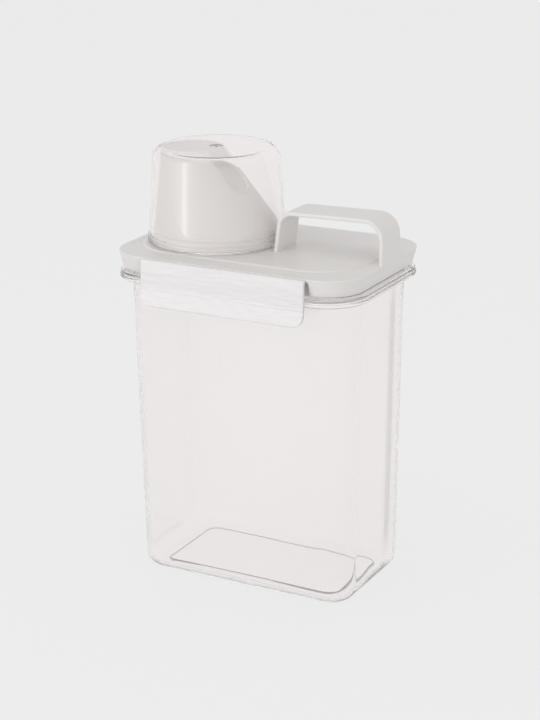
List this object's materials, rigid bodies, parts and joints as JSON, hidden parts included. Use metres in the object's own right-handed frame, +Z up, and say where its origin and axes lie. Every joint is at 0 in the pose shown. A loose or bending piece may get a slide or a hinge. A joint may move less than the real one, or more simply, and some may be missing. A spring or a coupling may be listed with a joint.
{
  "type": "laundry powder container",
  "caption": "Clear rounded-rectangular tub with a white clip-down lid, a slanted pouring spout under a clear measuring cup, two edge latches and a fixed arched handle.",
  "frame": {"origin": "middle of the foot, on the surface the tub stands on", "axes": "+Z up, +X along the long side towards the handle, spout and cup at -X, front latch at -Y"},
  "size_m": [0.1664, 0.1238, 0.2708],
  "materials": {
    "clear_plastic": "clear moulded polystyrene, glossy",
    "cup_plastic": "clear moulded polystyrene, glossy, faintly warm",
    "white_plastic": "white moulded polypropylene, satin",
    "latch_plastic": "white moulded polypropylene, fine sink ripple",
    "silicone": "translucent white silicone"
  },
  "bodies": {
    "container": {"tub": "clear_plastic", "lid": "white_plastic", "lid_seal": "silicone"},
    "front_latch_body": {"front_latch": "latch_plastic"},
    "back_latch_body": {"back_latch": "latch_plastic"},
    "cup_body": {"measuring_cup": "cup_plastic"}
  },
  "joints": [
    {"name": "front_latch_hinge", "type": "hinge", "parent": "container", "child": "front_latch_body", "pos_m": [0, -0.0573, 0.211], "axis": [-1, 0, 0], "range_deg": [0, 115]},
    {"name": "back_latch_hinge", "type": "hinge", "parent": "container", "child": "back_latch_body", "pos_m": [0, 0.0573, 0.211], "axis": [1, 0, 0], "range_deg": [0, 115]},
    {"name": "cup_lift", "type": "slide", "parent": "container", "child": "cup_body", "axis": [0, 0, 1], "range_m": [0, 0.06]}
  ]
}
